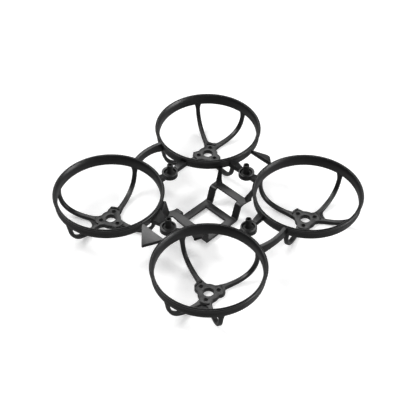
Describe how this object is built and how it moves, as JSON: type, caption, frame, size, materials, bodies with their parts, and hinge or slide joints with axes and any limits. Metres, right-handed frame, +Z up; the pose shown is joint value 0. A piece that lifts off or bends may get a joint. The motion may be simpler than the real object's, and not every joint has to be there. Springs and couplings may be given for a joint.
{
  "type": "ducted mini drone frame",
  "caption": "Palm-sized ducted drone frame: round propeller guards with motor mounts on curved struts, a battery tray and rubber posts for the flight board.",
  "frame": {"origin": "middle of the frame at the level of the motor mounts' undersides", "axes": "+Y to the rear, +X to the right, +Z up through the ducts"},
  "size_m": [0.0826, 0.0826, 0.0142],
  "materials": {
    "frame_plastic": "fine satin moulded black plastic",
    "damper_rubber": "matt black rubber"
  },
  "bodies": {
    "frame": {"duct_ring_fl": "frame_plastic", "motor_mount_fl": "frame_plastic", "strut_mid_y_fl": "frame_plastic", "strut_mid_x_fl": "frame_plastic", "strut_out_y_fl": "frame_plastic", "strut_out_x_fl": "frame_plastic", "duct_ring_fr": "frame_plastic", "motor_mount_fr": "frame_plastic", "strut_mid_y_fr": "frame_plastic", "strut_mid_x_fr": "frame_plastic", "strut_out_y_fr": "frame_plastic", "strut_out_x_fr": "frame_plastic", "duct_ring_bl": "frame_plastic", "motor_mount_bl": "frame_plastic", "strut_mid_y_bl": "frame_plastic", "strut_mid_x_bl": "frame_plastic", "strut_out_y_bl": "frame_plastic", "strut_out_x_bl": "frame_plastic", "duct_ring_br": "frame_plastic", "motor_mount_br": "frame_plastic", "strut_mid_y_br": "frame_plastic", "strut_mid_x_br": "frame_plastic", "strut_out_y_br": "frame_plastic", "strut_out_x_br": "frame_plastic", "tray_strap_rear": "frame_plastic", "tray_strap_front": "frame_plastic", "tray_rail_left": "frame_plastic", "tray_rail_right": "frame_plastic", "riser_rear_left": "frame_plastic", "riser_rear_right": "frame_plastic", "riser_front_left": "frame_plastic", "riser_front_right": "frame_plastic", "shelf_strap_rear": "frame_plastic", "shelf_strap_front": "frame_plastic", "arm_rear_left": "frame_plastic", "arm_rear_right": "frame_plastic", "arm_front_left": "frame_plastic", "arm_front_right": "frame_plastic", "side_bar_left": "frame_plastic", "side_bar_right": "frame_plastic", "gusset_rear": "frame_plastic", "gusset_front": "frame_plastic", "eye_right": "frame_plastic", "eye_arm_right_a": "frame_plastic", "eye_arm_right_b": "frame_plastic", "eye_rear": "frame_plastic", "eye_arm_rear_a": "frame_plastic", "eye_arm_rear_b": "frame_plastic", "eye_left": "frame_plastic", "eye_arm_left_a": "frame_plastic", "eye_arm_left_b": "frame_plastic", "eye_front": "frame_plastic", "eye_arm_front_a": "frame_plastic", "eye_arm_front_b": "frame_plastic"},
    "damper_right": {"damper_right": "damper_rubber"},
    "damper_rear": {"damper_rear": "damper_rubber"},
    "damper_left": {"damper_left": "damper_rubber"},
    "damper_front": {"damper_front": "damper_rubber"}
  },
  "joints": [
    {"name": "damper_right_give", "type": "slide", "parent": "frame", "child": "damper_right", "axis": [0, 0, 1], "range_m": [-0.00019, 0.00019], "stiffness_N_per_m": 300},
    {"name": "damper_rear_give", "type": "slide", "parent": "frame", "child": "damper_rear", "axis": [0, 0, 1], "range_m": [-0.00019, 0.00019], "stiffness_N_per_m": 300},
    {"name": "damper_left_give", "type": "slide", "parent": "frame", "child": "damper_left", "axis": [0, 0, 1], "range_m": [-0.00019, 0.00019], "stiffness_N_per_m": 300},
    {"name": "damper_front_give", "type": "slide", "parent": "frame", "child": "damper_front", "axis": [0, 0, 1], "range_m": [-0.00019, 0.00019], "stiffness_N_per_m": 300}
  ]
}
